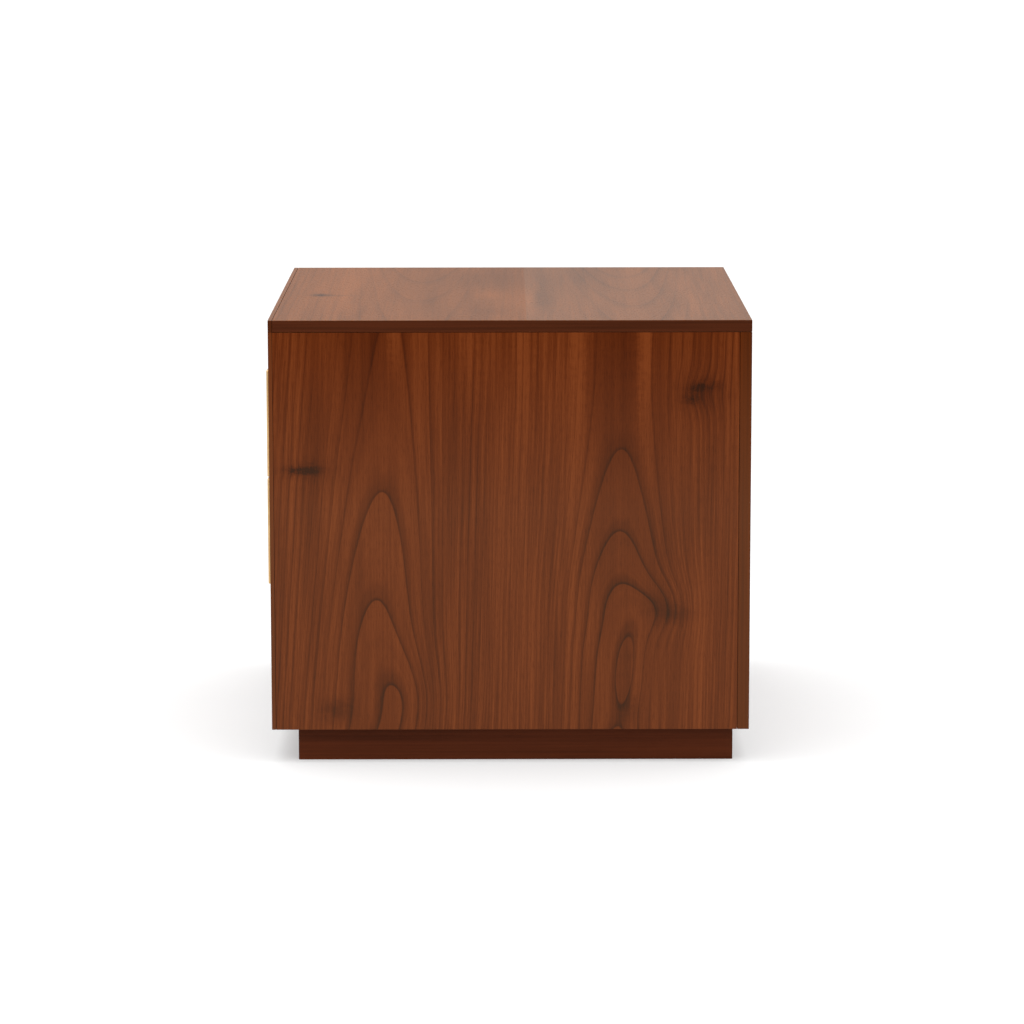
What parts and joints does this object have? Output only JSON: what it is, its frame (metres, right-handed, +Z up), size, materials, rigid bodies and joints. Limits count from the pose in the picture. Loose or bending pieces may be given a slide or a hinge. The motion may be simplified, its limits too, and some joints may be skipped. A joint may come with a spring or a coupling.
{
  "type": "two-drawer cube cabinet",
  "caption": "Cube-shaped wooden storage cabinet on a recessed plinth, with inset drawers on ball-bearing slides and brass bar pulls.",
  "frame": {"origin": "on the floor, under the middle of the whole bounding box, pulls included", "axes": "+Z up; the drawers face -Y and open towards -Y; +X is to the right of someone facing the drawers"},
  "size_m": [0.655, 0.6316, 0.57],
  "materials": {
    "walnut_veneer": "satin oiled walnut veneer",
    "walnut_lipping": "satin oiled solid walnut",
    "birch_plywood": "clear lacquered birch plywood",
    "satin_brass": "satin brushed, lacquered",
    "zinc_plated_steel": "zinc plated"
  },
  "bodies": {
    "carcass": {"back_panel": "walnut_veneer", "bottom_panel": "walnut_veneer", "front_lipping_bottom": "walnut_lipping", "front_lipping_left": "walnut_lipping", "front_lipping_right": "walnut_lipping", "front_lipping_top": "walnut_lipping", "lower_slide_cabinet_member_left": "zinc_plated_steel", "lower_slide_cabinet_member_right": "zinc_plated_steel", "plinth_back": "walnut_lipping", "plinth_block_back_left": "birch_plywood", "plinth_block_back_right": "birch_plywood", "plinth_block_front_left": "birch_plywood", "plinth_block_front_right": "birch_plywood", "plinth_front": "walnut_lipping", "plinth_left": "walnut_lipping", "plinth_right": "walnut_lipping", "side_panel_left": "walnut_veneer", "side_panel_right": "walnut_veneer", "top_panel": "walnut_veneer", "upper_slide_cabinet_member_left": "zinc_plated_steel", "upper_slide_cabinet_member_right": "zinc_plated_steel"},
    "upper_drawer": {"upper_box_back": "birch_plywood", "upper_box_bottom": "birch_plywood", "upper_box_front": "birch_plywood", "upper_box_side_left": "birch_plywood", "upper_box_side_right": "birch_plywood", "upper_drawer_front": "walnut_veneer", "upper_front_screw_high_left": "zinc_plated_steel", "upper_front_screw_high_right": "zinc_plated_steel", "upper_front_screw_low_left": "zinc_plated_steel", "upper_front_screw_low_right": "zinc_plated_steel", "upper_pull_bar": "satin_brass", "upper_pull_post_high": "satin_brass", "upper_pull_post_low": "satin_brass", "upper_pull_screw_high": "zinc_plated_steel", "upper_pull_screw_low": "zinc_plated_steel", "upper_slide_drawer_member_left": "zinc_plated_steel", "upper_slide_drawer_member_right": "zinc_plated_steel"},
    "upper_middle_members": {"upper_slide_middle_member_left": "zinc_plated_steel", "upper_slide_middle_member_right": "zinc_plated_steel"},
    "lower_drawer": {"lower_box_back": "birch_plywood", "lower_box_bottom": "birch_plywood", "lower_box_front": "birch_plywood", "lower_box_side_left": "birch_plywood", "lower_box_side_right": "birch_plywood", "lower_drawer_front": "walnut_veneer", "lower_front_screw_high_left": "zinc_plated_steel", "lower_front_screw_high_right": "zinc_plated_steel", "lower_front_screw_low_left": "zinc_plated_steel", "lower_front_screw_low_right": "zinc_plated_steel", "lower_pull_bar": "satin_brass", "lower_pull_post_high": "satin_brass", "lower_pull_post_low": "satin_brass", "lower_pull_screw_high": "zinc_plated_steel", "lower_pull_screw_low": "zinc_plated_steel", "lower_slide_drawer_member_left": "zinc_plated_steel", "lower_slide_drawer_member_right": "zinc_plated_steel"},
    "lower_middle_members": {"lower_slide_middle_member_left": "zinc_plated_steel", "lower_slide_middle_member_right": "zinc_plated_steel"}
  },
  "joints": [
    {"name": "upper_drawer_slide", "type": "slide", "parent": "carcass", "child": "upper_drawer", "axis": [0, -1, 0], "range_m": [0, 0.48]},
    {"name": "upper_middle_member_slide", "type": "slide", "parent": "carcass", "child": "upper_middle_members", "axis": [0, -1, 0], "range_m": [0, 0.24]},
    {"name": "lower_drawer_slide", "type": "slide", "parent": "carcass", "child": "lower_drawer", "axis": [0, -1, 0], "range_m": [0, 0.48]},
    {"name": "lower_middle_member_slide", "type": "slide", "parent": "carcass", "child": "lower_middle_members", "axis": [0, -1, 0], "range_m": [0, 0.24]}
  ],
  "couplings": [
    {"joint": "upper_middle_member_slide", "follows": "upper_drawer_slide", "ratio": 0.5},
    {"joint": "lower_middle_member_slide", "follows": "lower_drawer_slide", "ratio": 0.5}
  ]
}
